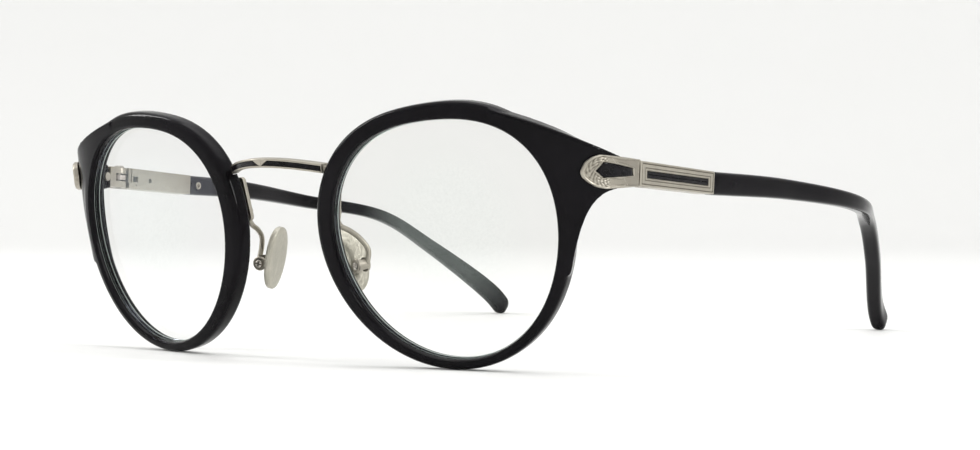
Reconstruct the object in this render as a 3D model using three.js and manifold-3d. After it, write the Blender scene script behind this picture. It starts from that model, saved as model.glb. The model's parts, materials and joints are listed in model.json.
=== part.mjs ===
// Round eyeglasses: acetate rims and temples, a metal bridge, metal nose pads and spring hinges.
// Millimetres, +Z up. The glasses look along -Y, so the wearer's left side is +X and the temples
// run back along +Y. They stand on the rims and on the temple tips, as they are laid on a table,
// and the origin is on the table under the middle of their box.
import * as THREE from "three";
import { mergeVertices } from "three/addons/utils/BufferGeometryUtils.js";
import Module from "manifold-3d";

const wasm = await Module();
wasm.setup();

const DEG = Math.PI / 180;
const GAP = 0.3; // clearance between pieces that touch on the real object

// ---------------------------------------------------------------- driving dimensions

// The lens opening is a circle of this radius, let down from the middle of the front, slightly
// wider than tall, and squarer at the brow than at the cheek.
const OPENING = { radius: 21.8, drop: 1.95, wide: 0.31, nasal: 0.22, brow: 0.65, square: 0.15 };
const HALF_SPACING = 35.4; // from the nose line to the middle of an opening
const WRAP = 9.8 * DEG; // each rim is turned back by this much
const BASE_CURVE = 127; // radius that the rims and lenses are bent to

// The rim's wall, in the plane of the lens: thin at the cheek, thick at the nose, and swelling into
// the lug at the shoulder.
const RIM = {
  wall: 2.15,
  brow: 0.45,
  nose: 1.4,
  temple: 0.4,
  shoulder: 0.5,
  front: -0.3,
  back: 3.3,
  edge: 0.5,
};
const SHOULDER = { from: 70 * DEG, spread: 25 * DEG };
const RIM_SEGMENTS = 36;
const GROOVE = { depth: 0.7, from: 1.0, to: 2.3 };
const LENS = { front: 1.0, thickness: 1.3, bevel: 0.35 };

// The lug that carries the hinge: its middle line seen from above, and its heights at the rim
// and at its end. It leaves the rim at the shoulder, in line with the rim's outer edge.
const LUG = {
  thickness: 3.6,
  topStart: 20.2,
  topEnd: 9.8,
  topBow: 1.4,
  bottomEnd: 4.9,
  bottomLeast: -9,
  flare: 146,
  power: 3.77,
  squareEdge: 0.12,
};
const LUG_LINE = new THREE.CubicBezierCurve3(
  new THREE.Vector3(45.4, 5, 0),
  new THREE.Vector3(56, 6.7, 0),
  new THREE.Vector3(62.5, 7.9, 0),
  new THREE.Vector3(62.9, 16.3, 0),
);

// The bridge bows forwards and up between its ends.
const BRIDGE = { halfSpan: 10.9, bow: 4.2, rise: 1.7, endY: 0.5, endZ: 10.7, height: 1.7, depth: 2 };
const TENON = { length: 1.5, height: 1.1, depth: 1.2 };
const TRIANGLE_WIDTH = 3; // the plain triangle in the middle of the bridge
const ENAMEL = { height: 1, depth: 0.5, recess: 0.9, proud: 0.1, start: 0.2, end: 0.45 };

// The hinge pin, in the front's frame, and the way the temple leaves it.
const PIN = new THREE.Vector3(63.4, 20.9, 6.4);
const SPLAY = 4 * DEG;
const SLOPE = 12.3 * DEG;
const KNUCKLE = { radius: 1.6, hole: 0.75, stack: 2.1, middle: 0.5 };
const PLAQUE = { thickness: 1, end: -2.6, bed: 0.65, from: 0.42, to: 1.2 };

// The plaque's outline and its black keyhole, as [y, z] points seen from the side.
const ARROW = [
  [6.6, 8.7],
  [7.2, 10.3],
  [8.1, 11],
  [9.4, 11.3],
  [21, 8.75],
  [21, 4.35],
  [9.9, 5.4],
  [8.5, 5.85],
  [7.5, 6.7],
  [6.8, 7.7],
];
const KEYHOLE = [
  [8.5, 8.65],
  [9.8, 10],
  [16.4, 8],
  [16.4, 6.75],
  [9.6, 7.4],
];
const PLAQUE_RIVETS = [0.71, 0.92]; // stations along the lug
const RIVET = { radius: 0.5, head: 0.9, below: 0.3, length: 2.45 };

// The metal housing on the temple, in the hinge's frame: x outwards, y back, z up the pin.
const HOUSING = { outer: 2.5, inner: -1.3, tongue: -1.8, mouth: 1.9, end: 21.9, high: 4.4, low: 4.15 };
const CAVITY = { width: 2.3, height: 2.7, end: 17 };
const MIDDLE = (HOUSING.outer + HOUSING.inner) / 2; // middle of the housing's thickness
const SLOT = { from: 0.4, to: 20.2, height: 1.3, depth: 0.65 };
const ROD = { radius: 0.4, end: 15.4 };
const COLLAR = { from: 7.9, to: 9.1 };
const SPRING = { from: 9.4, to: 13.9, radius: 0.8, wire: 0.14, turns: 5 };

// The acetate temple: its middle line in the hinge's frame, half heights and thickness.
const TEMPLE_LINE = new THREE.CatmullRomCurve3([
  new THREE.Vector3(0.6, HOUSING.end + GAP, 0),
  new THREE.Vector3(3, 46, 0.5),
  new THREE.Vector3(4.4, 71.5, -0.5),
  new THREE.Vector3(-4, 93, -3),
  new THREE.Vector3(-9.8, 107.4, -10.2),
  new THREE.Vector3(-17.6, 125, -21.6),
  new THREE.Vector3(-18.7, 130.4, -25.9),
]);
const TEMPLE = { halfStart: 2.15, halfNeck: 1.42, halfTip: 2.35, thickStart: 3.3, thickTip: 3.4, round: 2.6 };
const CORE = { width: 0.8, height: 0.9, length: 0.8 };
const STUD = { radius: 0.8, y: 25, depth: 0.7 };

// A nose pad rocks on a screw in a small box at the end of its arm. PAD_PIVOT is the middle of
// that screw in the front's frame, and the pad's face stands in from it and a little above it.
const PAD = { width: 7.2, height: 12.2, thickness: 1.3, bevel: 0.35, inwards: 2.7, above: 1.6 };
const PAD_LEAN = 15 * DEG; // the pads are closer together at the top
const PAD_TURN = 14 * DEG; // and at the front
const PAD_PIVOT = new THREE.Vector3(12.1, 6.6, -8.2);
const PAD_BOX = { half: 1.35, slot: 0.8, mouth: 1.25, back: 1.5 };
const PAD_SCREW = { radius: 0.3, head: 0.75, length: 2.6 };
const PAD_STEM = { half: 0.5, high: 0.75, end: 0.65 };

// The nose arm: a plate on the rim's back and a wire that curls back and down to the box.
const ARM = { wire: 0.5, width: 1.8, height: 8.4, lean: 9 * DEG, x: 11.1, z: 4.7, front: 2.2, back: 3 };
const ARM_SCREW = { x: 10.8, z: 2.4, radius: 0.45, head: 0.85, length: 2.9 };
const ARM_ROUTE = new THREE.CatmullRomCurve3([
  new THREE.Vector3(10.8, 2.7, 0.8),
  new THREE.Vector3(10.8, 3.5, -0.4),
  new THREE.Vector3(11.3, 5.4, -1.6),
  new THREE.Vector3(12.1, 7.2, -3.4),
  new THREE.Vector3(13.1, 7.9, -5.6),
  new THREE.Vector3(13.3, 7, -8),
]);

// ---------------------------------------------------------------- helpers

// A closed geometry as a solid that can be cut and joined. A geometry that came out inside out,
// as one does when its points were moved in a mirrored sense, has its faces turned over first.
function solid(geometry) {
  const plain = geometry.clone();
  plain.deleteAttribute("normal");
  plain.deleteAttribute("uv");
  const merged = mergeVertices(plain, 1e-4);
  const triVerts = new Uint32Array(merged.index.array);
  const vertProperties = new Float32Array(merged.attributes.position.array);
  const made = new wasm.Manifold(new wasm.Mesh({ numProp: 3, vertProperties, triVerts }));
  if (made.volume() >= 0) return made;
  const turnedOver = triVerts.reverse();
  return new wasm.Manifold(new wasm.Mesh({ numProp: 3, vertProperties, triVerts: turnedOver }));
}

function geometryOf(made) {
  const mesh = made.getMesh();
  const geometry = new THREE.BufferGeometry();
  geometry.setAttribute("position", new THREE.BufferAttribute(mesh.vertProperties, 3));
  geometry.setIndex(new THREE.BufferAttribute(mesh.triVerts, 1));
  return geometry;
}

function union(...geometries) {
  return geometryOf(geometries.map(solid).reduce((a, b) => a.add(b)));
}

function cut(geometry, ...tools) {
  return geometryOf(tools.map(solid).reduce((a, b) => a.subtract(b), solid(geometry)));
}

function common(a, b) {
  return geometryOf(solid(a).intersect(solid(b)));
}

// A copy of a geometry with every vertex moved to where place(x, y, z) says.
function warp(geometry, place) {
  const position = geometry.attributes.position;
  for (let i = 0; i < position.count; i++) {
    const p = place(position.getX(i), position.getY(i), position.getZ(i));
    position.setXYZ(i, p.x, p.y, p.z);
  }
  return geometryOf(solid(geometry));
}

function roundedRectangle(width, height, radius) {
  const shape = new THREE.Shape();
  const x = width / 2 - radius;
  const y = height / 2 - radius;
  shape.absarc(x, y, radius, 0, 90 * DEG);
  shape.absarc(-x, y, radius, 90 * DEG, 180 * DEG);
  shape.absarc(-x, -y, radius, 180 * DEG, 270 * DEG);
  shape.absarc(x, -y, radius, 270 * DEG, 360 * DEG);
  return shape;
}

function outline(points) {
  return new THREE.Shape(points.map(([x, y]) => new THREE.Vector2(x, y)));
}

function prism(shape, depth, steps = 1, curveSegments = 2) {
  return new THREE.ExtrudeGeometry(shape, { depth, steps, curveSegments, bevelEnabled: false });
}

// A box between two corners.
function block(x0, x1, y0, y1, z0, z1) {
  const box = new THREE.BoxGeometry(x1 - x0, y1 - y0, z1 - z0);
  return box.translate((x0 + x1) / 2, (y0 + y1) / 2, (z0 + z1) / 2);
}

// A rod along Z from z0 to z1.
function rodZ(radius, z0, z1, x = 0, y = 0, sides = 20) {
  const rod = new THREE.CylinderGeometry(radius, radius, z1 - z0, sides);
  return rod.rotateX(90 * DEG).translate(x, y, (z0 + z1) / 2);
}

function rodY(radius, y0, y1, x = 0, z = 0, sides = 16) {
  const rod = new THREE.CylinderGeometry(radius, radius, y1 - y0, sides);
  return rod.translate(x, (y0 + y1) / 2, z);
}

function rodX(radius, x0, x1, y, z, sides = 16) {
  const rod = new THREE.CylinderGeometry(radius, radius, x1 - x0, sides);
  return rod.rotateZ(90 * DEG).translate((x0 + x1) / 2, y, z);
}

// A slotted screw along Y: its domed head faces -Y and sits at the origin, its shank runs to +Y.
function screw(headRadius, headHeight, shankRadius, length) {
  const profile = [
    new THREE.Vector2(0, -headHeight),
    new THREE.Vector2(headRadius * 0.7, -headHeight * 0.85),
    new THREE.Vector2(headRadius, -headHeight * 0.3),
    new THREE.Vector2(headRadius, 0),
    new THREE.Vector2(shankRadius, 0),
    new THREE.Vector2(shankRadius, length),
    new THREE.Vector2(0, length),
  ];
  const body = new THREE.LatheGeometry(profile, 12);
  const slotWidth = headRadius * 0.25;
  const slotBottom = -headHeight * 0.5;
  const slot = block(-headRadius * 1.2, headRadius * 1.2, -headHeight * 2, slotBottom, -slotWidth, slotWidth);
  return cut(body, slot);
}

// ---------------------------------------------------------------- the front

function openingRadius(theta) {
  return (
    OPENING.radius -
    OPENING.drop * Math.sin(theta) +
    OPENING.wide * Math.cos(2 * theta) -
    OPENING.nasal * Math.cos(3 * theta) +
    OPENING.brow * Math.sin(3 * theta) -
    OPENING.square * Math.cos(4 * theta)
  );
}

function wallWidth(theta) {
  const atNose = ((1 - Math.cos(theta)) / 2) ** 3;
  const atTemple = ((1 + Math.cos(theta)) / 2) ** 3;
  const offShoulder = Math.atan2(Math.sin(theta - SHOULDER.from), Math.cos(theta - SHOULDER.from));
  const atShoulder = Math.exp(-((offShoulder / SHOULDER.spread) ** 2));
  const sides = RIM.nose * atNose + RIM.temple * atTemple;
  return RIM.wall + RIM.brow * Math.sin(theta) + sides + RIM.shoulder * atShoulder;
}

// A point on the bent plane of the lens: theta counts from the temple side, depth runs back.
function onFront(theta, radius, depth) {
  const u = radius * Math.cos(theta);
  const n = depth + radius ** 2 / (2 * BASE_CURVE);
  return new THREE.Vector3(
    HALF_SPACING + u * Math.cos(WRAP) - n * Math.sin(WRAP),
    u * Math.sin(WRAP) + n * Math.cos(WRAP),
    radius * Math.sin(theta),
  );
}

// Turns a profile of [distance outside the opening, depth] points round the lens opening.
function turned(profile, spread) {
  const points = profile.map(([out, depth]) => new THREE.Vector2(OPENING.radius + out, depth));
  const ring = new THREE.LatheGeometry(points, RIM_SEGMENTS);
  return warp(ring, (x, y, z) => {
    const radius = Math.hypot(x, z);
    const theta = Math.atan2(x, z);
    return onFront(theta, spread(radius, theta), y);
  });
}

function rimBlank() {
  const middle = RIM.wall / 2;
  const edge = RIM.edge;
  const profile = [
    [-1, 0.2],
    [0.3, RIM.front],
    [RIM.wall - edge * 1.4, RIM.front],
    [RIM.wall - edge * 0.4, RIM.front + edge * 0.5],
    [RIM.wall, RIM.front + edge * 1.6],
    [RIM.wall, RIM.back - edge * 1.2],
    [RIM.wall - edge * 0.4, RIM.back - edge * 0.35],
    [RIM.wall - edge * 1.3, RIM.back],
    [-1, RIM.back],
    [-1, 0.2],
  ];
  return turned(profile, (radius, theta) => {
    const out = radius - OPENING.radius;
    const extra = out > middle ? wallWidth(theta) - RIM.wall : 0;
    return openingRadius(theta) + out + extra;
  });
}

// Everything inside the opening, with the groove's ridge: cut from the rim, it leaves the hole.
function openingPlug() {
  const profile = [
    [-OPENING.radius, RIM.front - 2],
    [0.5, RIM.front - 2],
    [0.5, RIM.front],
    [0, RIM.front + 0.6],
    [0, GROOVE.from],
    [GROOVE.depth, (GROOVE.from + GROOVE.to) / 2],
    [0, GROOVE.to],
    [0, RIM.back + 3],
    [-OPENING.radius, RIM.back + 3],
  ];
  return turned(profile, (radius, theta) => (radius * openingRadius(theta)) / OPENING.radius);
}

// A point beside the lug's middle line: t runs along it from 0 at the rim to 1 at its end, and
// straight on from there, and lateral runs outwards across it.
function alongLug(t, lateral, height) {
  const part = Math.min(t, 1);
  const middle = LUG_LINE.getPoint(part);
  const along = LUG_LINE.getTangent(part);
  middle.addScaledVector(along, (t - part) * LUG_LINE.getLength());
  return new THREE.Vector3(middle.x + along.y * lateral, middle.y - along.x * lateral, height);
}

function lugTop(t) {
  return THREE.MathUtils.lerp(LUG.topStart, LUG.topEnd, t) + LUG.topBow * t * (1 - t);
}

function lugBottom(t) {
  return Math.max(LUG.bottomEnd - LUG.flare * (1 - t) ** LUG.power, LUG.bottomLeast);
}

function lug() {
  const bar = prism(roundedRectangle(LUG.thickness, 1, LUG.squareEdge), 1, 14);
  return warp(bar, (x, y, z) =>
    alongLug(z, x, THREE.MathUtils.lerp(lugBottom(z), lugTop(z), y + 0.5)),
  );
}

function bridgePoint(x, depth, height) {
  const reach = (x / BRIDGE.halfSpan) ** 2;
  const y = BRIDGE.endY - BRIDGE.bow * (1 - reach);
  const z = BRIDGE.endZ + BRIDGE.rise * (1 - reach);
  return new THREE.Vector3(x, y + depth, z + height);
}

// A bar of the bridge's curve between two stations.
function bridgeBar(x0, x1, shape, steps) {
  const bar = prism(shape, x1 - x0, steps);
  return warp(bar, (x, y, z) => bridgePoint(x0 + z, -x, y));
}

function rim() {
  const socket = bridgeBar(
    BRIDGE.halfSpan - 1,
    BRIDGE.halfSpan + TENON.length + GAP,
    roundedRectangle(TENON.depth + 2 * GAP, TENON.height + 2 * GAP, 0.3),
    2,
  );
  const bridgeEnd = bridgeBar(
    BRIDGE.halfSpan - 2,
    BRIDGE.halfSpan + GAP,
    roundedRectangle(BRIDGE.depth + 2 * GAP, BRIDGE.height + 2 * GAP, 0.3),
    2,
  );
  const holes = PLAQUE_RIVETS.map((t) => {
    const hole = rodY(RIVET.radius + GAP, -4, 4);
    return placedOnLug(hole, t);
  });
  const armHole = rodY(ARM_SCREW.radius + GAP, -1.6, 4, ARM_SCREW.x, ARM_SCREW.z);
  return cut(union(rimBlank(), lug()), openingPlug(), socket, bridgeEnd, ...holes, armHole);
}

function lens() {
  const back = LENS.front + LENS.thickness;
  const middle = (LENS.front + back) / 2;
  const rings = [0, 0.4, 0.75];
  const profile = [
    ...rings.map((part) => [OPENING.radius * (part - 1), LENS.front]),
    [-LENS.bevel, LENS.front],
    [LENS.bevel, middle],
    [-LENS.bevel, back],
    ...rings.reverse().map((part) => [OPENING.radius * (part - 1), back]),
  ];
  return turned(profile, (radius, theta) => (radius * openingRadius(theta)) / OPENING.radius);
}

// A bar of enamel, or the recess for it, on one side of the bridge's triangle. It stops against
// the triangle's slanted edge.
function bridgeEnamel(height, front, back, clear) {
  const start = ENAMEL.start + clear * 2;
  const end = BRIDGE.halfSpan - ENAMEL.end - clear;
  const bar = prism(roundedRectangle(back - front, height, 0.05), 1, 8, 1);
  return warp(bar, (x, y, z) => {
    const slant = (TRIANGLE_WIDTH / 2) * (y / ENAMEL.height + 0.5);
    return bridgePoint(THREE.MathUtils.lerp(start + slant, end, z), (front + back) / 2 - x, y);
  });
}

function bridge() {
  const bar = bridgeBar(
    -BRIDGE.halfSpan,
    BRIDGE.halfSpan,
    roundedRectangle(BRIDGE.depth, BRIDGE.height, 0.3),
    12,
  );
  const tenon = bridgeBar(
    -BRIDGE.halfSpan - TENON.length,
    BRIDGE.halfSpan + TENON.length,
    roundedRectangle(TENON.depth, TENON.height, 0.2),
    12,
  );
  const front = -BRIDGE.depth / 2;
  const recess = bridgeEnamel(ENAMEL.height, front - 1, front + ENAMEL.recess, 0);
  const mirrored = solid(recess).mirror([1, 0, 0]);
  return geometryOf(solid(union(bar, tenon)).subtract(solid(recess)).subtract(mirrored));
}

function bridgeInlay() {
  const front = -BRIDGE.depth / 2;
  return bridgeEnamel(ENAMEL.height - 2 * GAP, front + ENAMEL.proud, front + ENAMEL.depth, GAP);
}

// ---------------------------------------------------------------- nose arm and pad

// Places a piece made in the pad's own frame: x towards the temple, y back along the screw, z up.
function placedOnPad(geometry) {
  return geometry
    .rotateY(-PAD_LEAN)
    .rotateZ(-PAD_TURN)
    .translate(PAD_PIVOT.x, PAD_PIVOT.y, PAD_PIVOT.z);
}

function noseArm() {
  const plate = prism(roundedRectangle(ARM.width, ARM.height, ARM.width * 0.45), ARM.back - ARM.front, 1, 3);
  plate.rotateX(90 * DEG).rotateY(ARM.lean).translate(ARM.x, ARM.back, ARM.z);
  const circle = new THREE.Shape().absarc(0, 0, ARM.wire, 0, 360 * DEG);
  const wire = new THREE.ExtrudeGeometry(circle, {
    steps: 13,
    curveSegments: 5,
    extrudePath: ARM_ROUTE,
    bevelEnabled: false,
  });
  const half = PAD_BOX.half;
  const shell = placedOnPad(block(-PAD_BOX.mouth, PAD_BOX.back, -half, half, -half, half));
  const slotEnd = PAD_STEM.end + GAP;
  const slot = placedOnPad(block(-2, slotEnd, -PAD_BOX.slot, PAD_BOX.slot, -2, 2));
  const bore = placedOnPad(rodY(PAD_SCREW.radius + GAP, -2, 2));
  const armHole = rodY(ARM_SCREW.radius + GAP, ARM.front - 1, ARM.back + 1, ARM_SCREW.x, ARM_SCREW.z);
  return cut(union(plate, wire, shell), slot, bore, armHole);
}

function nosePad() {
  const face = new THREE.Shape();
  const w = PAD.width / 2;
  const h = PAD.height / 2;
  face.moveTo(0, -h);
  face.bezierCurveTo(w * 0.9, -h, w * 1.15, -h * 0.35, w, h * 0.15);
  face.bezierCurveTo(w * 0.85, h * 0.75, w * 0.5, h, 0, h);
  face.bezierCurveTo(-w * 0.6, h, -w, h * 0.6, -w, 0);
  face.bezierCurveTo(-w, -h * 0.55, -w * 0.6, -h, 0, -h);
  const plate = new THREE.ExtrudeGeometry(face, {
    depth: PAD.thickness - 2 * PAD.bevel,
    curveSegments: 6,
    bevelThickness: PAD.bevel,
    bevelSize: PAD.bevel,
    bevelOffset: -PAD.bevel,
    bevelSegments: 2,
  });
  // The outline's x becomes the pad's front-to-back direction, and its thickness lies along x.
  plate.rotateX(90 * DEG).rotateZ(90 * DEG);
  plate.computeBoundingBox();
  const box = plate.boundingBox;
  plate.translate(-PAD.inwards - (box.min.x + box.max.x) / 2, 0, PAD.above);
  const s = PAD_STEM;
  const stem = block(-PAD.inwards, s.end, -s.half, s.half, -s.high, s.high);
  const bore = rodY(PAD_SCREW.radius + 0.1, -2, 2);
  return placedOnPad(cut(union(plate, stem), bore));
}

function padScrew() {
  const piece = screw(PAD_SCREW.head, PAD_SCREW.head / 2, PAD_SCREW.radius, PAD_SCREW.length);
  return placedOnPad(piece.translate(0, -PAD_BOX.half - GAP / 3, 0));
}

function armScrew() {
  const piece = screw(ARM_SCREW.head, ARM_SCREW.head / 2, ARM_SCREW.radius, ARM_SCREW.length);
  return piece.rotateZ(180 * DEG).translate(ARM_SCREW.x, ARM.back + GAP / 3, ARM_SCREW.z);
}

// ---------------------------------------------------------------- plaque and front hinge

// Puts a piece that lies along Y across the lug at a station, with +Y to the outside.
function placedOnLug(geometry, t) {
  const middle = alongLug(t, 0, (lugTop(t) + LUG.bottomEnd) / 2 - RIVET.below);
  const outwards = LUG_LINE.getTangent(t);
  const turn = Math.atan2(-outwards.x, outwards.y) - 90 * DEG;
  return geometry.rotateZ(turn).translate(middle.x, middle.y, middle.z);
}

// Places a piece from the hinge's frame in the front's frame.
function placedOnHinge(geometry) {
  return geometry.rotateX(-SLOPE).rotateZ(-SPLAY).translate(PIN.x, PIN.y, PIN.z);
}

// A skin on the lug's outer face, cut to an outline that is seen from the side.
function skinOnLug(points, from, to) {
  const skin = warp(prism(outline([[from, 2], [to, 2], [to, 14], [from, 14]]), 1, 14), (x, y, z) =>
    alongLug(THREE.MathUtils.lerp(PLAQUE.from, PLAQUE.to, z), x, y),
  );
  const stencil = prism(outline(points), 20).rotateX(90 * DEG).rotateZ(90 * DEG).translate(52, 0, 0);
  return common(skin, stencil);
}

function plaque() {
  const inner = LUG.thickness / 2 + GAP;
  const skin = skinOnLug(ARROW, inner, inner + PLAQUE.thickness);
  const face = inner + PLAQUE.thickness;
  const enamelBed = skinOnLug(KEYHOLE, face - PLAQUE.bed, face + 1);
  const k = KNUCKLE;
  const reach = PLAQUE.end;
  const hingeBlock = placedOnHinge(block(-1.4, 2.4, -4, reach, -k.stack, k.stack));
  const web = placedOnHinge(block(-1.4, 1.1, reach - 0.1, 0, -k.stack, k.stack));
  const barrel = placedOnHinge(rodZ(k.radius, -k.stack, k.stack));
  const gapForMiddle = placedOnHinge(
    block(-3, 3, reach + 0.3, 3, -k.middle - GAP, k.middle + GAP),
  );
  const bore = placedOnHinge(rodZ(k.hole, -4, 4));
  const trim = placedOnHinge(block(-5, 5, reach, 9, -6, 6));
  const plate = cut(skin, trim);
  const rivetHoles = PLAQUE_RIVETS.map((t) => placedOnLug(rodY(RIVET.radius + GAP, 1, 2.7), t));
  const joined = union(plate, hingeBlock, web, barrel);
  return cut(joined, gapForMiddle, bore, enamelBed, ...rivetHoles);
}

function plaqueInlay() {
  const face = LUG.thickness / 2 + GAP + PLAQUE.thickness;
  const shrink = 0.3;
  const middleY = 12.6;
  const middleZ = 7.6;
  const points = KEYHOLE.map(([y, z]) => [
    y - Math.sign(y - middleY) * shrink * 1.6,
    z - Math.sign(z - middleZ) * shrink,
  ]);
  return skinOnLug(points, face - PLAQUE.bed + GAP, face - 0.05);
}

// The rivets stand behind the plaque and are headed over on the lug's inner face.
function plaqueRivet(t) {
  const inside = -LUG.thickness / 2 - GAP;
  const shank = rodY(RIVET.radius, inside - 0.1, RIVET.length, 0, 0, 14);
  const head = rodY(RIVET.head, inside - 0.5, inside, 0, 0, 14);
  return placedOnLug(union(shank, head), t);
}

// ---------------------------------------------------------------- hinge, in the hinge's frame

function hingeScrew() {
  const piece = screw(1.1, 0.4, KNUCKLE.hole - GAP, 2 * KNUCKLE.stack);
  return piece.rotateX(-90 * DEG).translate(0, 0, KNUCKLE.stack + GAP / 3);
}

function carriage() {
  const half = KNUCKLE.middle;
  const barrel = rodZ(KNUCKLE.radius - 0.05, -half, half);
  const arm = block(MIDDLE - 0.8, MIDDLE + 0.8, 0.5, 6.6, -half, half);
  const slide = block(MIDDLE - 0.8, MIDDLE + 0.8, 2.4, 6.6, -1, 1);
  const rod = rodY(ROD.radius, 6, ROD.end, MIDDLE, 0, 12);
  const bore = rodZ(KNUCKLE.hole, -2, 2);
  return cut(union(barrel, arm, slide, rod), bore);
}

function springNut() {
  const nut = rodY(0.95, SPRING.to + 0.3, ROD.end - 0.2, MIDDLE, 0, 6);
  return cut(nut, rodY(ROD.radius + 0.12, SPRING.to, ROD.end, MIDDLE, 0, 12));
}

function spring() {
  class Coil extends THREE.Curve {
    getPoint(t, target = new THREE.Vector3()) {
      const angle = t * SPRING.turns * 360 * DEG;
      const x = MIDDLE + SPRING.radius * Math.cos(angle);
      const z = SPRING.radius * Math.sin(angle);
      return target.set(x, SPRING.from + (SPRING.to - SPRING.from) * t, z);
    }
  }
  const wire = new THREE.Shape().absarc(0, 0, SPRING.wire, 0, 360 * DEG);
  return new THREE.ExtrudeGeometry(wire, {
    steps: SPRING.turns * 8,
    curveSegments: 3,
    extrudePath: new Coil(),
    bevelEnabled: false,
  });
}

function collar() {
  const w = CAVITY.width / 2 - GAP / 2;
  const h = CAVITY.height / 2 - GAP / 2;
  const ring = block(MIDDLE - w, MIDDLE + w, COLLAR.from, COLLAR.to, -h, h);
  return cut(ring, rodY(ROD.radius + 0.2, 7, 10, MIDDLE, 0, 12));
}

// ---------------------------------------------------------------- temple, in the hinge's frame

function housingHalf(y) {
  const part = THREE.MathUtils.clamp(y / HOUSING.end, 0, 1);
  return THREE.MathUtils.lerp(HOUSING.high, HOUSING.low, part) / 2;
}

function housing() {
  const thickness = HOUSING.outer - HOUSING.inner;
  const length = HOUSING.end - HOUSING.tongue;
  const bar = warp(prism(roundedRectangle(thickness, 2, 0.25), length, 4), (x, y, z) => {
    const along = HOUSING.tongue + z;
    return new THREE.Vector3(MIDDLE + x, along, -y * housingHalf(along));
  });
  const tongueBack = 1.9;
  const mouth = block(-4, tongueBack, HOUSING.tongue - 1, HOUSING.mouth, -4, 4);
  const w = CAVITY.width / 2;
  const h = CAVITY.height / 2;
  const cavity = block(MIDDLE - w, MIDDLE + w, 0, CAVITY.end, -h, h);
  const window = block(-3, MIDDLE, 3.1, 4.7, -0.7, 0.5);
  const hole = rodX(0.5, -3, MIDDLE, 8.5, -0.1);
  const slot = block(HOUSING.outer - SLOT.depth, 4, SLOT.from, SLOT.to, -SLOT.height / 2, SLOT.height / 2);
  const coreHole = rodY(CORE.height / 2 + GAP, CAVITY.end + 2, HOUSING.end + 1, 0.6, 0);
  return cut(bar, mouth, cavity, window, hole, slot, coreHole);
}

function housingInlay() {
  const half = SLOT.height / 2 - GAP;
  const face = HOUSING.outer;
  return block(face - SLOT.depth + GAP, face - 0.05, SLOT.from + GAP, SLOT.to - GAP, -half, half);
}

// A bar that follows the temple's middle line; across and up are in millimetres.
function alongTemple(t, across, up) {
  const middle = TEMPLE_LINE.getPointAt(t);
  const along = TEMPLE_LINE.getTangentAt(t);
  const sideways = new THREE.Vector3(0, 0, 1).cross(along).negate().normalize();
  const upwards = sideways.clone().cross(along);
  return middle.addScaledVector(sideways, across).addScaledVector(upwards, up);
}

const TEMPLE_LENGTH = TEMPLE_LINE.getLength();

function templeHalfHeight(t) {
  const neck = THREE.MathUtils.smoothstep(t, 0, 0.58);
  const tip = THREE.MathUtils.smoothstep(t, 0.66, 0.97);
  const shaft = THREE.MathUtils.lerp(TEMPLE.halfStart, TEMPLE.halfNeck, neck);
  return THREE.MathUtils.lerp(shaft, TEMPLE.halfTip, tip);
}

function tipRounding(t) {
  const left = (1 - t) * TEMPLE_LENGTH;
  const short = THREE.MathUtils.clamp(1 - left / TEMPLE.round, 0, 1);
  return Math.sqrt(1 - 0.98 * short * short);
}

function templeBar(width, halfHeight, steps, corner) {
  const bar = prism(roundedRectangle(2, 2, corner), 1, steps, 2);
  return warp(bar, (x, y, z) => {
    const t = 1 - (1 - z) ** 1.5;
    return alongTemple(t, x * width(t), y * halfHeight(t));
  });
}

function temple() {
  const half = (t) => (THREE.MathUtils.lerp(TEMPLE.thickStart, TEMPLE.thickTip, t) / 2) * tipRounding(t);
  const body = templeBar(half, (t) => templeHalfHeight(t) * tipRounding(t), 24, 0.55);
  const channel = core(GAP, 0.02);
  const innerFace = MIDDLE - TEMPLE.thickStart / 2;
  const studHole = rodX(STUD.radius + GAP, innerFace - 2, innerFace + STUD.depth, STUD.y, 0);
  return cut(body, channel, studHole);
}

// The wire core that runs back inside the acetate, grown by clear on every side.
function core(clear, longer) {
  const w = CORE.width / 2 + clear;
  const h = CORE.height / 2 + clear;
  const bar = prism(roundedRectangle(2 * w, 2 * h, w * 0.5), 1, 14, 1);
  const start = clear > 0 ? -0.02 : -0.008;
  return warp(bar, (x, y, z) => {
    const t = start + (CORE.length + longer - start) * z;
    const back = Math.min(t, 0) * TEMPLE_LENGTH;
    const point = alongTemple(Math.max(t, 0), x, y);
    point.y += back;
    return point;
  });
}

function stud() {
  const face = MIDDLE - TEMPLE.thickStart / 2;
  const ring = rodX(STUD.radius, face + 0.02, face + STUD.depth - GAP, STUD.y, 0);
  return cut(ring, rodX(STUD.radius * 0.5, face - 1, face + 0.2, STUD.y, 0));
}

// ---------------------------------------------------------------- materials

function material(color, roughness, metalness, extra = {}) {
  return new THREE.MeshStandardMaterial({ color, roughness, metalness, ...extra });
}

const ACETATE = material(0x1b1a1d, 0.18, 0);
const SILVER = material(0xb9b2a4, 0.32, 1);
const INNER_STEEL = material(0xd2c9c2, 0.3, 1);
const ENAMEL_BLACK = material(0x28262b, 0.25, 0);
const PAD_METAL = material(0xcbc5b6, 0.42, 1);
const SCREW_STEEL = material(0xa9a59d, 0.35, 1);
const CLEAR = material(0xe8f0f0, 0.03, 0, { transparent: true, opacity: 0.25 });

// ---------------------------------------------------------------- assembly

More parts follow.
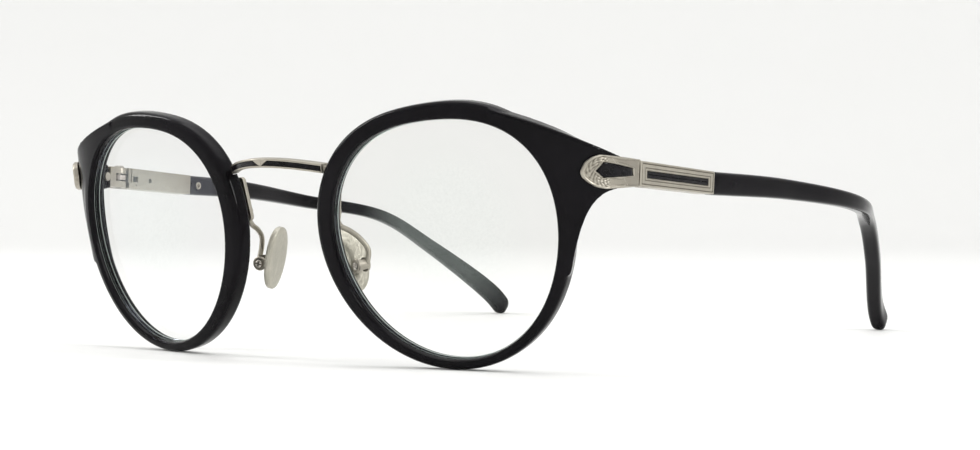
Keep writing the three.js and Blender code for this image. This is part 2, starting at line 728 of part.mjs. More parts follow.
const FRONT_PIECES = [
  ["rim", rim(), ACETATE],
  ["lens", lens(), CLEAR],
  ["bridge_inlay", bridgeInlay(), ENAMEL_BLACK],
  ["nose_arm", noseArm(), SILVER],
  ["nose_arm_screw", armScrew(), SCREW_STEEL],
  ["nose_pad", nosePad(), PAD_METAL],
  ["nose_pad_screw", padScrew(), SCREW_STEEL],
  ["plaque", plaque(), SILVER],
  ["plaque_inlay", plaqueInlay(), ENAMEL_BLACK],
  ["plaque_rivet_front", plaqueRivet(PLAQUE_RIVETS[0]), SCREW_STEEL],
  ["plaque_rivet_rear", plaqueRivet(PLAQUE_RIVETS[1]), SCREW_STEEL],
];

const HINGE_PIECES = [
  ["hinge_screw", hingeScrew(), SCREW_STEEL],
  ["hinge_carriage", carriage(), INNER_STEEL],
  ["hinge_spring", spring(), INNER_STEEL],
  ["hinge_spring_nut", springNut(), SCREW_STEEL],
  ["hinge_collar", collar(), INNER_STEEL],
  ["temple_housing", housing(), SILVER],
  ["housing_inlay", housingInlay(), ENAMEL_BLACK],
  ["temple", temple(), ACETATE],
  ["temple_core", core(0, 0), INNER_STEEL],
  ["temple_stud", stud(), SILVER],
];

function meshes(pieces, side) {
  return pieces.map(([name, geometry, finish]) => {
    const mesh = new THREE.Mesh(geometry, finish);
    mesh.name = `${name}_${side}`;
    return mesh;
  });
}

function half(side) {
  const hinge = new THREE.Group();
  hinge.position.copy(PIN);
  hinge.rotation.set(-SLOPE, 0, -SPLAY, "ZYX");
  hinge.add(...meshes(HINGE_PIECES, side));
  const group = new THREE.Group();
  group.add(...meshes(FRONT_PIECES, side), hinge);
  return group;
}

const glasses = new THREE.Group();
const left = half("left");
const right = half("right");
right.scale.x = -1;
const bridgeMesh = new THREE.Mesh(bridge(), SILVER);
bridgeMesh.name = "bridge";
glasses.add(left, right, bridgeMesh);

// The lowest point of one piece, with the glasses tipped back by an angle.
function lowest(name, tilt) {
  glasses.rotation.x = tilt;
  glasses.updateMatrixWorld(true);
  const mesh = glasses.getObjectByName(name);
  return new THREE.Box3().setFromObject(mesh, true).min.z;
}

// The glasses tip back until the temple tips are as low as the rims.
let least = 0;
let most = 20 * DEG;
for (let i = 0; i < 40; i++) {
  const tilt = (least + most) / 2;
  if (lowest("temple_left", tilt) < lowest("rim_left", tilt)) least = tilt;
  else most = tilt;
}

// Then they are set down with their box centred over the origin.
const box = new THREE.Box3().setFromObject(glasses, true);
const centre = box.getCenter(new THREE.Vector3());
glasses.position.set(-centre.x, -centre.y, -box.min.z);

export default glasses;
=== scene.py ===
"""Round combination eyeglasses: the looks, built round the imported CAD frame.

Shapes are worked out in millimetres in the front's own frame, in which the front stands upright
and the wearer looks along -Y, and are then set down on the table as the CAD model is.
"""
import json
import math

import bmesh
import bpy
import numpy as np
from mathutils import Matrix, Vector


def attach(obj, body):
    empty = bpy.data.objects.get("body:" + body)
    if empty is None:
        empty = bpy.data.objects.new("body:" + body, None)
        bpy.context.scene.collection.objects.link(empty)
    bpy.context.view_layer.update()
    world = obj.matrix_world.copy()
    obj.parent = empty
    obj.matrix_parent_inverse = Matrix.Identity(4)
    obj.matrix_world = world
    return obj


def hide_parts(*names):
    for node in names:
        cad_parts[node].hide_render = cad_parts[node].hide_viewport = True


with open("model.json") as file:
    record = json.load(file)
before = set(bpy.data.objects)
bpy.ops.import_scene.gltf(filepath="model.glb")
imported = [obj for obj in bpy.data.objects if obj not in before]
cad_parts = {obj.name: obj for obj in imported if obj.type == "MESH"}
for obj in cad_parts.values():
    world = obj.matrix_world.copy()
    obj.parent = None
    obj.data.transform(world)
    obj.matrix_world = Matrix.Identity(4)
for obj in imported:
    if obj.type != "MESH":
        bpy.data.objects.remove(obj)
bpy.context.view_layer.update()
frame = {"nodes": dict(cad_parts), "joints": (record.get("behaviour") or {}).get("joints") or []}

MM = 0.001
GAP = 0.3  # clearance between pieces, as in the CAD model
DEG = math.pi / 180
SIDES = ("left", "right")

# ---------------------------------------------------------------- the object's dimensions, in mm

OPENING = {"radius": 21.8, "drop": 1.95, "wide": 0.31, "nasal": 0.22, "brow": 0.65, "square": 0.15}
HALF_SPACING = 35.4
WRAP = 9.8 * DEG
BASE_CURVE = 127
RIM = {"wall": 2.15, "brow": 0.45, "nose": 1.4, "temple": 0.4, "shoulder": 0.5, "front": -0.3, "back": 3.3}
SHOULDER = {"from": 70 * DEG, "spread": 25 * DEG}
GROOVE = {"depth": 0.7, "start": 1.0, "end": 2.3}
LENS = {"front": 1.0, "thickness": 1.3, "bevel": 0.35}
LUG = {
    "thickness": 3.6,
    "top_start": 20.2,
    "top_end": 9.8,
    "top_bow": 1.4,
    "bottom_end": 4.9,
    "bottom_least": -9,
}
FLARE = {"size": 146, "power": 3.77}
LUG_POINTS = np.array(((45.4, 5), (56, 6.7), (62.5, 7.9), (62.9, 16.3)))
BRIDGE = {"half_span": 10.9, "bow": 4.2, "rise": 1.7, "end_y": 0.5, "end_z": 10.7, "height": 1.7, "depth": 2}
TENON = {"length": 1.5, "height": 1.1, "depth": 1.2}
TRIANGLE_WIDTH = 3
PIN = np.array((63.4, 20.9, 6.4))
SPLAY = 4 * DEG
SLOPE = 12.3 * DEG
KNUCKLE = {"radius": 1.6, "hole": 0.75, "stack": 2.1, "middle": 0.5}
HOUSING = {"outer": 2.5, "inner": -1.3, "tongue": -1.8, "mouth": 1.9, "end": 21.9, "high": 4.4, "low": 4.15}
MIDDLE = (HOUSING["outer"] + HOUSING["inner"]) / 2
TEMPLE = {
    "half_start": 2.15,
    "half_neck": 1.42,
    "half_tip": 2.35,
    "thick_start": 3.3,
    "thick_tip": 3.4,
    "round": 2.6,
}
TEMPLE_POINTS = np.array(
    (
        (0.6, HOUSING["end"] + GAP, 0),
        (3, 46, 0.5),
        (4.4, 71.5, -0.5),
        (-4, 93, -3),
        (-9.8, 107.4, -10.2),
        (-17.6, 125, -21.6),
        (-18.7, 130.4, -25.9),
    )
)

# ---------------------------------------------------------------- frames


def rot_x(angle):
    c, s = math.cos(angle), math.sin(angle)
    return np.array(((1, 0, 0), (0, c, -s), (0, s, c)))


def rot_y(angle):
    c, s = math.cos(angle), math.sin(angle)
    return np.array(((c, 0, s), (0, 1, 0), (-s, 0, c)))


def rot_z(angle):
    c, s = math.cos(angle), math.sin(angle)
    return np.array(((c, -s, 0), (s, c, 0), (0, 0, 1)))


JOINTS = {j["name"]: j for j in frame["joints"]}
HINGE_TURN = rot_z(-SPLAY) @ rot_x(-SLOPE)
pin_up = HINGE_TURN @ (0, 0, 1)
pin_axis = JOINTS["fold_left"]["axis"]
TILT = math.atan2(pin_axis[2], pin_axis[1]) - math.atan2(pin_up[2], pin_up[1])
STANCE = rot_x(TILT)
SHIFT = np.array(JOINTS["fold_left"]["pos_m"]) / MM - STANCE @ PIN


def to_world(points):
    return (np.asarray(points, float) @ STANCE.T + SHIFT) * MM


def from_hinge(points):
    return np.asarray(points, float) @ HINGE_TURN.T + PIN


# ---------------------------------------------------------------- mesh helpers


def new_object(name, points, faces):
    """A mesh object from points in the front's frame."""
    mesh = bpy.data.meshes.new(name)
    mesh.from_pydata(to_world(points).tolist(), [], faces)
    outwards(mesh)
    obj = bpy.data.objects.new(name, mesh)
    bpy.context.scene.collection.objects.link(obj)
    return obj


def outwards(mesh):
    work = bmesh.new()
    work.from_mesh(mesh)
    bmesh.ops.recalc_face_normals(work, faces=work.faces)
    work.to_mesh(mesh)
    work.free()


def loft(rings, wrap=False):
    """Points and faces of a skin over rings of points, capped at both ends or joined end to end."""
    rings = np.asarray(rings, float)
    rows, cols = rings.shape[:2]
    faces = []
    for r in range(rows if wrap else rows - 1):
        a, b = r * cols, (r + 1) % rows * cols
        faces += [(a + c, a + (c + 1) % cols, b + (c + 1) % cols, b + c) for c in range(cols)]
    if not wrap:
        faces += [tuple(range(cols)), tuple(range((rows - 1) * cols, rows * cols))]
    return rings.reshape(-1, 3), faces


def joined(*shapes):
    """Several lofts as one list of points and one of faces."""
    points, faces, start = [], [], 0
    for more, theirs in shapes:
        points.append(more)
        faces += [tuple(start + i for i in f) for f in theirs]
        start += len(more)
    return np.concatenate(points), faces


def rounded_rectangle(width, height, radius, per_corner=6):
    """Points round a rectangle, as (x, y) pairs."""
    found = []
    for sx, sy, start in ((1, 1, 0), (-1, 1, 90), (-1, -1, 180), (1, -1, 270)):
        for k in range(per_corner + 1):
            a = (start + 90 * k / per_corner) * DEG
            x = sx * (width / 2 - radius) + radius * math.cos(a)
            y = sy * (height / 2 - radius) + radius * math.sin(a)
            found.append((x, y))
    return np.array(found)


def bevelled_prism(outline, low, high, bevel, steps=3):
    """Rings of an outline extruded from low to high with rounded edges, as (x, y, z) points."""
    centre = outline.mean(0)
    reach = np.linalg.norm(outline - centre, axis=1, keepdims=True)
    rings = []
    for z0, side in ((low, 1), (high, -1)):
        part = []
        for k in range(steps + 1):
            a = 90 * DEG * k / steps
            inset = bevel * (1 - math.sin(a))
            shrunk = centre + (outline - centre) * (1 - inset / reach)
            z = z0 + side * bevel * (1 - math.cos(a))
            part.append(np.column_stack((shrunk, np.full(len(shrunk), z))))
        rings += part if side > 0 else part[::-1]
    return rings


def box(x0, x1, y0, y1, z0, z1, bevel=0.12):
    """A box with rounded edges, in whatever frame its numbers are in."""
    outline = rounded_rectangle(x1 - x0, y1 - y0, bevel, 4) + ((x0 + x1) / 2, (y0 + y1) / 2)
    return loft(bevelled_prism(outline, z0, z1, bevel))


def turned_rod(axis, profile, centre=(0, 0, 0), sides=40):
    """A shape turned about x, y or z: profile lists (distance along, radius)."""
    a = np.linspace(0, 2 * math.pi, sides, endpoint=False)
    rings = []
    for along, radius in profile:
        radius = max(radius, 1e-4)
        flat = np.column_stack((np.full(sides, along), radius * np.cos(a), radius * np.sin(a)))
        order = {"x": (0, 1, 2), "y": (2, 0, 1), "z": (1, 2, 0)}[axis]
        rings.append(flat[:, order] + centre)
    return loft(rings)


def rod(axis, radius, start, end, centre=(0, 0, 0), bevel=0.06, sides=40):
    profile = ((start, radius - bevel), (start + bevel, radius), (end - bevel, radius), (end, radius - bevel))
    return turned_rod(axis, profile, centre, sides)


def placed(shape, place):
    points, faces = shape
    return place(points), faces


def apply_modifiers(obj):
    graph = bpy.context.evaluated_depsgraph_get()
    mesh = bpy.data.meshes.new_from_object(obj.evaluated_get(graph))
    obj.modifiers.clear()
    obj.data = mesh
    return obj


def boolean(obj, operation, *shapes):
    """Cuts shapes from obj, or adds them to it."""
    for points, faces in shapes:
        tool = new_object("tool", points, faces)
        modifier = obj.modifiers.new("boolean", "BOOLEAN")
        modifier.operation = operation
        modifier.solver = "EXACT"
        modifier.object = tool
        apply_modifiers(obj)
        bpy.data.objects.remove(tool)
    return obj


def smooth_shading(obj, angle=35):
    mesh = obj.data
    mesh.polygons.foreach_set("use_smooth", [True] * len(mesh.polygons))
    mesh.set_sharp_from_angle(angle=angle * DEG)
    return obj


def mirrored(obj, name):
    """The other side's twin of a piece."""
    twin = obj.copy()
    twin.name = name
    twin.data = obj.data.copy()
    twin.data.transform(Matrix.Diagonal((-1, 1, 1, 1)))
    twin.data.flip_normals()
    bpy.context.scene.collection.objects.link(twin)
    return twin


def finished(obj, body, slot, material, *nodes):
    obj.data.materials.clear()
    obj.data.materials.append(material)
    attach(obj, body)
    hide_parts(*nodes)
    return obj


def both_sides(obj, body, slot, material, *nodes):
    """Finishes the left piece and makes the right one. A body with no side in its name is the front."""
    name = obj.name
    twin = mirrored(obj, f"{name}_right")
    obj.name = f"{name}_left"
    for side, piece in zip(SIDES, (obj, twin)):
        own_body = body if body == "front" else f"{body}_{side}"
        finished(piece, own_body, slot, material, *(f"{n}_{side}" for n in nodes))


def catmull_rom(points, count):
    """Evenly spaced points on the centripetal spline that the CAD model's curves use."""
    points = np.asarray(points, float)
    ends = np.vstack((2 * points[0] - points[1], points, 2 * points[-1] - points[-2]))
    found = []
    for k in range(len(points) - 1):
        p = ends[k : k + 4]
        step = np.linalg.norm(np.diff(p, axis=0), axis=1) ** 0.5
        m1 = (p[1] - p[0]) / step[0] - (p[2] - p[0]) / (step[0] + step[1]) + (p[2] - p[1]) / step[1]
        m2 = (p[2] - p[1]) / step[1] - (p[3] - p[1]) / (step[1] + step[2]) + (p[3] - p[2]) / step[2]
        m1, m2 = m1 * step[1], m2 * step[1]
        t = np.linspace(0, 1, 60, endpoint=k == len(points) - 2)[:, None]
        c2 = -3 * p[1] + 3 * p[2] - 2 * m1 - m2
        c3 = 2 * p[1] - 2 * p[2] + m1 + m2
        found.append(p[1] + m1 * t + c2 * t**2 + c3 * t**3)
    found = np.concatenate(found)
    run = np.concatenate(((0,), np.cumsum(np.linalg.norm(np.diff(found, axis=0), axis=1))))
    even = np.linspace(0, run[-1], count)
    return np.column_stack([np.interp(even, run, found[:, k]) for k in range(3)])


def unit(v):
    return v / np.linalg.norm(v, axis=-1, keepdims=True)


def tube(path, radius, sides=20):
    """A round wire along a path, with rounded ends."""
    along = unit(np.gradient(path, axis=0))
    side = unit(np.cross(along, (0, 1, 0.2)))
    up = np.cross(side, along)
    a = np.linspace(0, 2 * math.pi, sides, endpoint=False)[None, :, None]
    ends = np.full(len(path), float(radius))
    ends[[0, -1]] *= 0.7
    ring = side[:, None] * np.cos(a) + up[:, None] * np.sin(a)
    return loft(path[:, None] + ring * ends[:, None, None])


def smoothstep(x, low, high):
    t = np.clip((x - low) / (high - low), 0, 1)
    return t * t * (3 - 2 * t)


# ---------------------------------------------------------------- materials


class Nodes:
    """A new material whose shader is built one node at a time."""

    def __init__(self, name):
        self.material = bpy.data.materials.new(name)
        self.material.use_nodes = True
        self.tree = self.material.node_tree
        self.shader = self.tree.nodes["Principled BSDF"]
        self.place = self.add("ShaderNodeTexCoord").outputs["Object"]

    def add(self, kind, **values):
        node = self.tree.nodes.new(kind)
        for key, value in values.items():
            setattr(node, key, value)
        return node

    def link(self, source, target):
        self.tree.links.new(source, target)

    def stretched(self, scale):
        mapping = self.add("ShaderNodeMapping")
        self.link(self.place, mapping.inputs["Vector"])
        mapping.inputs["Scale"].default_value = scale
        return mapping.outputs["Vector"]

    def noise(self, scale, detail=3, roughness=0.5, vector=None):
        node = self.add("ShaderNodeTexNoise")
        node.inputs["Scale"].default_value = scale
        node.inputs["Detail"].default_value = detail
        node.inputs["Roughness"].default_value = roughness
        self.link(vector or self.place, node.inputs["Vector"])
        return node.outputs["Fac"]

    def ranged(self, source, low, high, new_low, new_high):
        node = self.add("ShaderNodeMapRange")
        self.link(source, node.inputs["Value"])
        for key, value in (("From Min", low), ("From Max", high), ("To Min", new_low), ("To Max", new_high)):
            node.inputs[key].default_value = value
        return node.outputs["Result"]

    def math(self, operation, a, b=0):
        node = self.add("ShaderNodeMath", operation=operation)
        for socket, value in zip(node.inputs, (a, b)):
            if isinstance(value, (int, float)):
                socket.default_value = value
            else:
                self.link(value, socket)
        return node.outputs[0]

    def mixed(self, factor, a, b):
        node = self.add("ShaderNodeMix", data_type="RGBA")
        self.link(factor, node.inputs["Factor"])
        for socket, value in ((node.inputs[6], a), (node.inputs[7], b)):
            if isinstance(value, tuple):
                socket.default_value = (*value, 1)
            else:
                self.link(value, socket)
        return node.outputs[2]

    def bump(self, height, strength, distance):
        node = self.add("ShaderNodeBump")
        self.link(height, node.inputs["Height"])
        node.inputs["Strength"].default_value = strength
        node.inputs["Distance"].default_value = distance
        self.link(node.outputs["Normal"], self.shader.inputs["Normal"])

    def wear_and_hollow_shade(self):
        """1 on raised edges, where the metal is worn, 0 in hollows, where shade is painted, from the mesh's
        own curvature.
        """
        geometry = self.add("ShaderNodeNewGeometry")
        return self.ranged(geometry.outputs["Pointiness"], 0.462, 0.515, 0, 1)

    def set(self, **values):
        for key, value in values.items():
            self.shader.inputs[key.replace("_", " ")].default_value = value


def acetate():
    n = Nodes("acetate")
    cloud = n.noise(70, 4, 0.6)
    colour = n.mixed(n.ranged(cloud, 0.35, 0.65, 0, 1), (0.003, 0.0026, 0.0034), (0.006, 0.0052, 0.0068))
    n.link(colour, n.shader.inputs["Base Color"])
    smear = n.noise(220, 3, 0.6)
    fine = n.noise(2600, 2, 0.6, n.stretched((1, 0.15, 1)))
    rough = n.math("ADD", n.ranged(smear, 0.3, 0.7, 0.07, 0.17), n.ranged(fine, 0.55, 0.8, 0, 0.08))
    n.link(rough, n.shader.inputs["Roughness"])
    n.bump(n.math("ADD", n.noise(140, 2), n.math("MULTIPLY", fine, 0.05)), 0.12, 0.00012)
    n.set(IOR=1.47, Specular_IOR_Level=0.1)
    return n.material


def metal(name, light, hollow_shade, rough, brushed, grain=2400, depth=0.00003):
    """A worn metal: darker in its hollows, which is painted shade, brighter on its edges, which is wear,
    brushed one way.
    """
    n = Nodes(name)
    cloud = n.ranged(n.noise(500, 4, 0.65), 0.3, 0.7, 0, 1)
    shade = n.mixed(cloud, tuple(c * 0.86 for c in light), light)
    # Hollows get the darker colour, which is painted shade; raised edges keep the full colour, as wear.
    shade = n.mixed(n.wear_and_hollow_shade(), hollow_shade, shade)
    n.link(shade, n.shader.inputs["Base Color"])
    lines = n.noise(grain, 3, 0.7, n.stretched(brushed))
    n.link(n.ranged(lines, 0.3, 0.7, rough - 0.07, rough + 0.1), n.shader.inputs["Roughness"])
    n.bump(lines, 0.35, depth)
    n.set(Metallic=1)
    return n.material


def enamel():
    n = Nodes("enamel")
    cloud = n.ranged(n.noise(900, 3), 0.35, 0.65, 0, 1)
    colour = n.mixed(cloud, (0.003, 0.0027, 0.0034), (0.009, 0.008, 0.01))
    n.link(colour, n.shader.inputs["Base Color"])
    n.link(n.ranged(n.noise(1500, 2), 0.3, 0.7, 0.12, 0.28), n.shader.inputs["Roughness"])
    n.bump(n.noise(1100, 2), 0.2, 0.00004)
    n.set(IOR=1.5, Specular_IOR_Level=0.13)
    return n.material


SHEEN_REACH = (0.008, 0.0165)  # the painted reflection in mid-lens fades out between these distances from a lens's middle, in m
CHAMFER_SLANT = 0.7  # the edge chamfer's normal is turned so far from the front's, as a cosine


def painted_sheen_strength(n):
    """How much of the painted sheen shows: a faint speckle in mid-lens, a painted reflection speckled like
    dust, and a pale line on the chamfer, which is a painted highlight.
    """
    place = n.add("ShaderNodeSeparateXYZ")
    n.link(n.place, place.inputs[0])
    across = n.math("SUBTRACT", n.math("ABSOLUTE", place.outputs["X"]), HALF_SPACING * MM)
    upwards = n.math("SUBTRACT", place.outputs["Z"], SHIFT[2] * MM)
    reach = n.math("SQRT", n.math("ADD", n.math("POWER", across, 2), n.math("POWER", upwards, 2)))
    # Mid-lens haze: a painted reflection, speckled like dust.
    middle = n.ranged(reach, *SHEEN_REACH, 1, 0.06)
    speckle = n.math("MULTIPLY", n.ranged(n.noise(2200, 3, 0.7), 0.4, 0.62, 0.055, 0.1), middle)
    facing = n.add("ShaderNodeVectorMath", operation="DOT_PRODUCT")
    n.link(n.add("ShaderNodeNewGeometry").outputs["True Normal"], facing.inputs[0])
    facing.inputs[1].default_value = tuple(STANCE @ (0, 1, 0))
    slant = n.math("ABSOLUTE", facing.outputs["Value"])
    # Pale line on the chamfer: a painted highlight.
    below = n.ranged(slant, CHAMFER_SLANT + 0.18, CHAMFER_SLANT + 0.23, 0.65, 0)
    above = n.ranged(slant, CHAMFER_SLANT / 2, CHAMFER_SLANT * 0.6, 0, 1)
    return n.math("MAXIMUM", speckle, n.math("MULTIPLY", below, above))


def lens_material():
    """Clear plastic, seen straight through, with a coating's reflection and a faint veil of painted sheen, a
    pale diffuse layer.
    """
    n = Nodes("lens")
    see_through = n.add("ShaderNodeBsdfTransparent")
    see_through.inputs["Color"].default_value = (0.965, 0.965, 0.96, 1)
    # A pale diffuse layer mixed over the lens: painted reflection and highlight.
    painted_sheen = n.add("ShaderNodeBsdfDiffuse")
    painted_sheen.inputs["Color"].default_value = (0.82, 0.92, 0.87, 1)
    hazed = n.add("ShaderNodeMixShader")
    n.link(painted_sheen_strength(n), hazed.inputs[0])
    n.link(see_through.outputs[0], hazed.inputs[1])
    n.link(painted_sheen.outputs[0], hazed.inputs[2])
    gloss = n.add("ShaderNodeBsdfGlossy")
    gloss.inputs["Roughness"].default_value = 0.02
    gloss.inputs["Color"].default_value = (0.8, 0.82, 1, 1)
    fresnel = n.add("ShaderNodeFresnel")
    fresnel.inputs["IOR"].default_value = 1.4
    coated = n.add("ShaderNodeMixShader")
    n.link(n.math("MULTIPLY", fresnel.outputs[0], 0.05), coated.inputs[0])
    n.link(hazed.outputs[0], coated.inputs[1])
    n.link(gloss.outputs[0], coated.inputs[2])
    n.link(coated.outputs[0], n.tree.nodes["Material Output"].inputs["Surface"])
    n.tree.nodes.remove(n.shader)
    return n.material


ACETATE = acetate()
SILVER = metal("silver", (0.43, 0.4, 0.34), (0.1, 0.088, 0.07), 0.36, (1, 0.12, 1))
INNER_STEEL = metal("inner_steel", (0.55, 0.5, 0.46), (0.28, 0.26, 0.23), 0.32, (1, 0.15, 1))
SCREW_STEEL = metal("screw_steel", (0.52, 0.49, 0.44), (0.15, 0.14, 0.12), 0.3, (1, 1, 1), grain=1800)
PAD_METAL = metal(
    "pad_metal", (0.5, 0.48, 0.41), (0.22, 0.21, 0.175), 0.36, (1, 1, 0.3), grain=1900, depth=0.0006
)
ENAMEL = enamel()
LENS_CLEAR = lens_material()

# ---------------------------------------------------------------- rims and lenses


def opening_radius(theta):
    return (
        OPENING["radius"]
        - OPENING["drop"] * np.sin(theta)
        + OPENING["wide"] * np.cos(2 * theta)
        - OPENING["nasal"] * np.cos(3 * theta)
        + OPENING["brow"] * np.sin(3 * theta)
        - OPENING["square"] * np.cos(4 * theta)
    )


def wall_width(theta):
    at_nose = ((1 - np.cos(theta)) / 2) ** 3
    at_temple = ((1 + np.cos(theta)) / 2) ** 3
    off_shoulder = np.arctan2(np.sin(theta - SHOULDER["from"]), np.cos(theta - SHOULDER["from"]))
    at_shoulder = np.exp(-((off_shoulder / SHOULDER["spread"]) ** 2))
    sides = RIM["nose"] * at_nose + RIM["temple"] * at_temple
    return RIM["wall"] + RIM["brow"] * np.sin(theta) + sides + RIM["shoulder"] * at_shoulder


def on_front(theta, radius, depth):
    """A point on the bent plane of the lens: theta counts from the temple side, depth runs back."""
    u = radius * np.cos(theta)
    n = depth + radius**2 / (2 * BASE_CURVE)
    x = HALF_SPACING + u * math.cos(WRAP) - n * math.sin(WRAP)
    y = u * math.sin(WRAP) + n * math.cos(WRAP)
    return np.stack((x, y, radius * np.sin(theta)), axis=-1)


def ring_round_opening(profile, segments, wrap, scaled):
    """Rings of points round the opening. A profile lists (distance outside the opening, depth)."""
    theta = np.linspace(0, 2 * math.pi, segments, endpoint=False)
    opening = opening_radius(theta)
    rings = []
    for out, depth in profile:
        if scaled:
            radius = np.maximum((OPENING["radius"] + out) / OPENING["radius"], 1e-4) * opening
        else:
            extra = (wall_width(theta) - RIM["wall"]) * (out > RIM["wall"] / 2)
            radius = opening + out + extra
        rings.append(on_front(theta, radius, depth))
    return loft(rings, wrap)


def lug_curve(part):
    """The lug's middle line, a cubic Bezier curve, at shares of the way along it."""
    p = LUG_POINTS
    middle = (1 - part) ** 3 * p[0] + 3 * (1 - part) ** 2 * part * p[1]
    return middle + 3 * (1 - part) * part**2 * p[2] + part**3 * p[3]


def lug_direction(part):
    turn = np.diff(LUG_POINTS, axis=0)
    return unit((1 - part) ** 2 * turn[0] + 2 * (1 - part) * part * turn[1] + part**2 * turn[2])


def length_of(line):
    return float(np.linalg.norm(np.diff(line, axis=0), axis=1).sum())


LUG_LENGTH = length_of(lug_curve(np.linspace(0, 1, 400)[:, None]))


def lug_middle(t):
    """Middle line of the lug and its direction; it runs straight on at both ends."""
    part = np.clip(t, 0, 1)[..., None]
    along = lug_direction(part)
    return lug_curve(part) + along * (np.asarray(t)[..., None] - part) * LUG_LENGTH, along


def lug_top(t):
    return LUG["top_start"] + (LUG["top_end"] - LUG["top_start"]) * t + LUG["top_bow"] * t * (1 - t)


def lug_bottom(t):
    flare = FLARE["size"] * np.maximum(1 - t, 0) ** FLARE["power"]
    return np.maximum(LUG["bottom_end"] - flare, LUG["bottom_least"])


def along_lug(t, lateral, height):
    middle, along = lug_middle(np.asarray(t, float))
    x = middle[..., 0] + along[..., 1] * lateral
    y = middle[..., 1] - along[..., 0] * lateral
    return np.stack(np.broadcast_arrays(x, y, height), axis=-1)


def bridge_point(x, depth, height):
    reach = (x / BRIDGE["half_span"]) ** 2
    y = BRIDGE["end_y"] - BRIDGE["bow"] * (1 - reach)
    z = BRIDGE["end_z"] + BRIDGE["rise"] * (1 - reach)
    return np.stack(np.broadcast_arrays(x, y + depth, z + height), axis=-1)


def bridge_bar(x0, x1, depth, height, radius, steps):
    section = rounded_rectangle(depth, height, radius)
    stations = np.linspace(x0, x1, steps)
    return loft([bridge_point(x, section[:, 0], section[:, 1]) for x in stations])


def lug_shape():
    section = rounded_rectangle(LUG["thickness"], 1, 0.03, 2)
    rings = []
    for t in np.linspace(0, 1, 60):
        low, high = lug_bottom(t), lug_top(t)
        height = low + (high - low) * (section[:, 1] + 0.5)
        rings.append(along_lug(np.full(len(section), t), section[:, 0], height))
    return loft(rings)


def placed_on_lug(shape, t):
    """Puts a shape that lies along y across the lug, with +y to the outside."""
    height = (lug_top(t) + LUG["bottom_end"]) / 2 - 0.3
    middle = along_lug(t, 0, height)
    out = along_lug(t, 1, height) - middle
    turn = rot_z(math.atan2(out[1], out[0]) - math.pi / 2)
    return placed(shape, lambda p: p @ turn.T + middle)


RIVET_STATIONS = (0.71, 0.92)
RIVET_RADIUS = 0.5
RIM_VOXEL = 0.26
RIM_SMOOTHING = 15
ARM_SCREW = {"x": 10.8, "z": 2.4, "radius": 0.45, "head": 0.85, "length": 2.9}


def rim():
    """A ring joined to its lug, softened where they meet, then cut with the opening and the holes."""
    wall = RIM["wall"]
    blank = ring_round_opening(
        (
            (-1.2, 0.2),
            (0.3, RIM["front"]),
            (wall - 0.7, RIM["front"]),
            (wall - 0.2, RIM["front"] + 0.25),
            (wall, RIM["front"] + 0.8),
            (wall, RIM["back"] - 0.6),
            (wall - 0.2, RIM["back"] - 0.18),
            (wall - 0.65, RIM["back"]),
            (-1.2, RIM["back"]),
        ),
        256,
        True,
        False,
    )
    obj = new_object("look_rim", *joined(blank, lug_shape()))
    remesh = obj.modifiers.new("remesh", "REMESH")
    remesh.mode = "VOXEL"
    remesh.voxel_size = RIM_VOXEL * MM
    relax = obj.modifiers.new("relax", "SMOOTH")
    relax.factor = 0.5
    relax.iterations = RIM_SMOOTHING
    apply_modifiers(obj)
    plug = ring_round_opening(
        (
            (-OPENING["radius"], RIM["front"] - 3),
            (0.5, RIM["front"] - 3),
            (0.5, RIM["front"] - 0.02),
            (0.22, RIM["front"] + 0.18),
            (0.06, RIM["front"] + 0.5),
            (0, RIM["front"] + 0.9),
            (0, GROOVE["start"]),
            (GROOVE["depth"], (GROOVE["start"] + GROOVE["end"]) / 2),
            (0, GROOVE["end"]),
            (0, RIM["back"] - 0.3),
            (0.12, RIM["back"] - 0.08),
            (0.4, RIM["back"] + 0.05),
            (0.6, RIM["back"] + 3),
            (-OPENING["radius"], RIM["back"] + 3),
        ),
        192,
        False,
        True,
    )
    span = BRIDGE["half_span"]
    socket = bridge_bar(
        span - 1,
        span + TENON["length"] + GAP,
        TENON["depth"] + 2 * GAP,
        TENON["height"] + 2 * GAP,
        0.3,
        4,
    )
    end = bridge_bar(span - 2, span + GAP, BRIDGE["depth"] + 0.3, BRIDGE["height"] + 0.3, 0.3, 4)
    holes = [placed_on_lug(rod("y", RIVET_RADIUS + GAP, -4, 4, sides=24), t) for t in RIVET_STATIONS]
    arm_hole = rod("y", ARM_SCREW["radius"] + GAP, -1.6, 4, (ARM_SCREW["x"], 0, ARM_SCREW["z"]), sides=24)
    boolean(obj, "DIFFERENCE", plug, socket, end, *holes, arm_hole)
    return smooth_shading(obj, 32)


def lens():
    """A bent disc with a thin chamfer front and back and a ridge that sits in the rim's groove."""
    back = LENS["front"] + LENS["thickness"]
    rings = np.linspace(0, 0.994, 14)
    profile = [(OPENING["radius"] * (part - 1), LENS["front"]) for part in rings]
    middle = (LENS["front"] + back) / 2
    profile += [(-0.02, LENS["front"] + 0.1), (-0.02, middle - 0.15), (LENS["bevel"], middle)]
    profile += [(-0.02, middle + 0.15), (-0.02, back - 0.1)]
    profile += [(OPENING["radius"] * (part - 1), back) for part in rings[::-1]]
    return smooth_shading(new_object("look_lens", *ring_round_opening(profile, 192, False, True)), 30)


both_sides(rim(), "front", "acetate", ACETATE, "rim")
both_sides(lens(), "front", "lens", LENS_CLEAR, "lens")

# ---------------------------------------------------------------- bridge

ENAMEL_BAR = {"height": 1.0, "depth": 0.5, "recess": 0.9, "proud": 0.1, "start": 0.2, "end": 0.12}
ENAMEL_CLEAR = 0.08
RIB_DEPTH = 0.05


